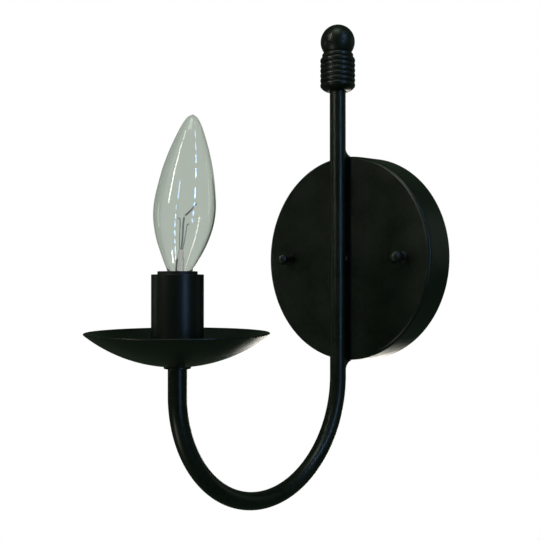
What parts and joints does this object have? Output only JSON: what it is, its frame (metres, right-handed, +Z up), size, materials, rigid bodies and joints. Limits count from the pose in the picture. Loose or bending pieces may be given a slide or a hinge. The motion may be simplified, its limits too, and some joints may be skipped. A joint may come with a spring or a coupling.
{
  "type": "wall sconce candle holder",
  "caption": "Wall sconce: round canopy with two ball nuts, J-shaped tube arm with a reeded ball finial, drip pan, electric candle sleeve and a clear torpedo bulb.",
  "frame": {"origin": "the middle of the canopy's back, on the wall", "axes": "+X to the right seen from the room, +Y into the wall, +Z up; the fixture stands out towards -Y"},
  "size_m": [0.127, 0.2004, 0.2847],
  "materials": {
    "black_coat": "satin black powder coat over steel, faintly mottled",
    "sleeve_black": "smooth satin black candle cover",
    "phenolic": "black moulded phenolic",
    "black_plastic": "plain black nylon",
    "zinc_steel": "bright zinc plate",
    "green_screw": "green-dyed steel",
    "brass": "rolled brass",
    "lamp_base_metal": "nickel-plated lamp base and solder",
    "black_glass": "black glass insulator",
    "clear_glass": "clear blown glass",
    "lamp_wire": "drawn wire and coiled tungsten",
    "black_lead": "black lead insulation",
    "white_lead": "white lead insulation",
    "bare_copper": "bare copper wire",
    "connector_orange": "moulded twist-on connector",
    "connector_green": "moulded twist-on connector"
  },
  "bodies": {
    "fixture": {"canopy_pan": "black_coat", "upper_weld_bead": "black_coat", "lower_weld_bead": "black_coat", "wire_bushing": "black_plastic", "mounting_crossbar": "zinc_steel", "ground_screw": "green_screw", "left_stud": "zinc_steel", "left_stud_lock_nut": "zinc_steel", "right_stud": "zinc_steel", "right_stud_lock_nut": "zinc_steel", "arm_tube": "black_coat", "rod_top_plug": "zinc_steel", "finial_stud": "zinc_steel", "finial_reeded_neck": "black_coat", "finial_ball": "black_coat", "check_ring": "black_coat", "drip_pan": "black_coat", "pan_lock_washer": "zinc_steel", "pan_hex_nut": "zinc_steel", "socket_bracket": "zinc_steel", "bracket_screw": "zinc_steel", "socket_body": "phenolic", "socket_screw_shell": "brass", "socket_centre_contact": "brass", "hot_lead": "black_lead", "neutral_lead": "white_lead", "ground_lead": "bare_copper", "hot_wire_connector": "connector_orange", "neutral_wire_connector": "connector_orange", "ground_wire_connector": "connector_green"},
    "sleeve": {"candle_sleeve": "sleeve_black"},
    "bulb_tip": {"bulb_base_insulator": "black_glass", "bulb_tip_contact": "lamp_base_metal"},
    "bulb": {"bulb_base": "lamp_base_metal", "bulb_glass": "clear_glass", "bulb_glass_stem": "clear_glass", "bulb_front_lead_wire": "lamp_wire", "bulb_back_lead_wire": "lamp_wire", "bulb_left_support_wire": "lamp_wire", "bulb_right_support_wire": "lamp_wire", "bulb_filament": "lamp_wire"},
    "left_washer": {"left_nut_washer": "black_coat"},
    "left_nut": {"left_ball_nut": "black_coat"},
    "right_washer": {"right_nut_washer": "black_coat"},
    "right_nut": {"right_ball_nut": "black_coat"}
  },
  "joints": [
    {"name": "sleeve_lift", "type": "slide", "parent": "fixture", "child": "sleeve", "axis": [0, 0, 1], "range_m": [0, 0.0085]},
    {"name": "bulb_rise", "type": "slide", "parent": "fixture", "child": "bulb_tip", "axis": [0, 0, 1], "range_m": [0, 0.0204]},
    {"name": "bulb_turn", "type": "hinge", "parent": "bulb_tip", "child": "bulb", "pos_m": [0, -0.1536, 0], "axis": [0, 0, 1], "range_deg": [0, 2880]},
    {"name": "left_nut_travel", "type": "slide", "parent": "fixture", "child": "left_washer", "axis": [0, -1, 0], "range_m": [0, 0.006]},
    {"name": "left_nut_turn", "type": "hinge", "parent": "left_washer", "child": "left_nut", "pos_m": [-0.04445, 0, 0], "axis": [0, -1, 0], "range_deg": [0, 3086]},
    {"name": "right_nut_travel", "type": "slide", "parent": "fixture", "child": "right_washer", "axis": [0, -1, 0], "range_m": [0, 0.006]},
    {"name": "right_nut_turn", "type": "hinge", "parent": "right_washer", "child": "right_nut", "pos_m": [0.04445, 0, 0], "axis": [0, -1, 0], "range_deg": [0, 3086]}
  ],
  "couplings": [
    {"joint": "bulb_rise", "follows": "bulb_turn", "m_per_rad": 0.00040425},
    {"joint": "left_nut_turn", "follows": "left_nut_travel", "rad_per_m": 8976},
    {"joint": "right_nut_turn", "follows": "right_nut_travel", "rad_per_m": 8976}
  ]
}
